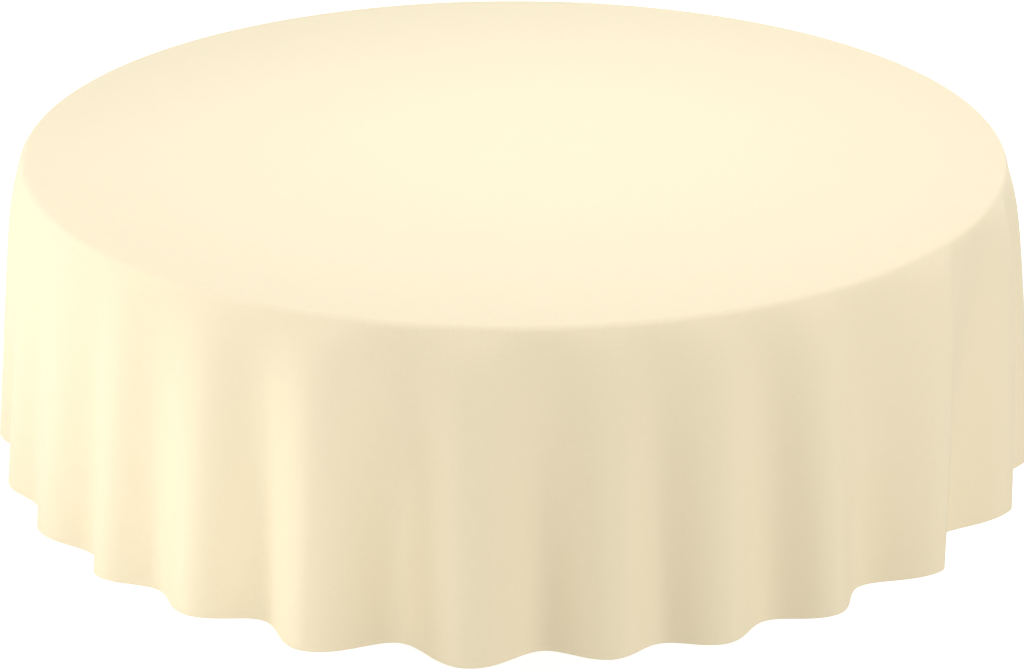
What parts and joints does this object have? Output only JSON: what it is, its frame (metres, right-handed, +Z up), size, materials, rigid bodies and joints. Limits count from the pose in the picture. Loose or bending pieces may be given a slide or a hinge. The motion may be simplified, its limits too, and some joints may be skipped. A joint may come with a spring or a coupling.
{
  "type": "banquet table with tablecloth",
  "caption": "Round banquet table under a plain round ivory tablecloth that hangs in soft folds, on a folding cross stand.",
  "frame": {"origin": "on the floor, under the centre of the round top", "axes": "+Z up; the stand's frames cross at 45 degrees to X and Y, and X and Y each pass between them"},
  "size_m": [1.6787, 1.6788, 0.742],
  "materials": {
    "ivory_cloth": "plain-woven spun polyester, soft matt",
    "ivory_thread": "spun polyester sewing thread",
    "birch_plywood": "sanded and clear lacquered",
    "edge_vinyl": "extruded vinyl moulding",
    "powder_coated_steel": "satin black powder coat",
    "zinc_plated_steel": "bright zinc plating",
    "black_polypropylene": "moulded, fine texture",
    "white_nylon": "moulded nylon",
    "foot_rubber": "moulded rubber"
  },
  "bodies": {
    "outer_frame": {"outer_top_rail": "powder_coated_steel", "outer_bottom_rail": "powder_coated_steel", "outer_corner_gussets": "powder_coated_steel", "outer_upright_a": "powder_coated_steel", "outer_top_cap_a": "black_polypropylene", "outer_foot_insert_a": "black_polypropylene", "outer_upright_b": "powder_coated_steel", "outer_top_cap_b": "black_polypropylene", "outer_foot_insert_b": "black_polypropylene", "upper_pivot_bolt": "zinc_plated_steel", "upper_head_washer": "zinc_plated_steel", "upper_spacer": "white_nylon", "upper_nut_washer": "zinc_plated_steel", "upper_pivot_nut": "zinc_plated_steel", "lower_pivot_bolt": "zinc_plated_steel", "lower_head_washer": "zinc_plated_steel", "lower_spacer": "white_nylon", "lower_nut_washer": "zinc_plated_steel", "lower_pivot_nut": "zinc_plated_steel", "stop_plate": "powder_coated_steel", "stop_pins": "powder_coated_steel"},
    "inner_frame": {"inner_top_rail": "powder_coated_steel", "inner_bottom_rail": "powder_coated_steel", "inner_corner_gussets": "powder_coated_steel", "inner_upright_a": "powder_coated_steel", "inner_top_cap_a": "black_polypropylene", "inner_foot_insert_a": "black_polypropylene", "inner_upright_b": "powder_coated_steel", "inner_top_cap_b": "black_polypropylene", "inner_foot_insert_b": "black_polypropylene", "upper_bush": "white_nylon", "lower_bush": "white_nylon"},
    "table_top": {"top_panel": "birch_plywood", "edge_moulding": "edge_vinyl", "rim_ring": "birch_plywood", "locating_socket_a": "black_polypropylene", "locating_socket_b": "black_polypropylene", "socket_screws": "zinc_plated_steel"},
    "cloth": {"tablecloth": "ivory_cloth", "hem": "ivory_cloth", "hem_stitching": "ivory_thread"},
    "outer_leveller_a": {"outer_leveller_pad_a": "foot_rubber", "outer_leveller_stud_a": "zinc_plated_steel"},
    "outer_leveller_b": {"outer_leveller_pad_b": "foot_rubber", "outer_leveller_stud_b": "zinc_plated_steel"},
    "inner_leveller_a": {"inner_leveller_pad_a": "foot_rubber", "inner_leveller_stud_a": "zinc_plated_steel"},
    "inner_leveller_b": {"inner_leveller_pad_b": "foot_rubber", "inner_leveller_stud_b": "zinc_plated_steel"}
  },
  "joints": [
    {"name": "stand_fold", "type": "hinge", "parent": "outer_frame", "child": "inner_frame", "pos_m": [0, 0, 0.4], "axis": [0, 0, 1], "range_deg": [-80, 0]},
    {"name": "top_lift", "type": "slide", "parent": "outer_frame", "child": "table_top", "axis": [0, 0, 1], "range_m": [0, 0.15]},
    {"name": "cloth_lift", "type": "slide", "parent": "table_top", "child": "cloth", "axis": [0, 0, 1], "range_m": [0, 0.5]},
    {"name": "outer_leveller_a_screw", "type": "slide", "parent": "outer_frame", "child": "outer_leveller_a", "axis": [0, 0, -1], "range_m": [0, 0.012]},
    {"name": "outer_leveller_b_screw", "type": "slide", "parent": "outer_frame", "child": "outer_leveller_b", "axis": [0, 0, -1], "range_m": [0, 0.012]},
    {"name": "inner_leveller_a_screw", "type": "slide", "parent": "inner_frame", "child": "inner_leveller_a", "axis": [0, 0, -1], "range_m": [0, 0.012]},
    {"name": "inner_leveller_b_screw", "type": "slide", "parent": "inner_frame", "child": "inner_leveller_b", "axis": [0, 0, -1], "range_m": [0, 0.012]}
  ]
}
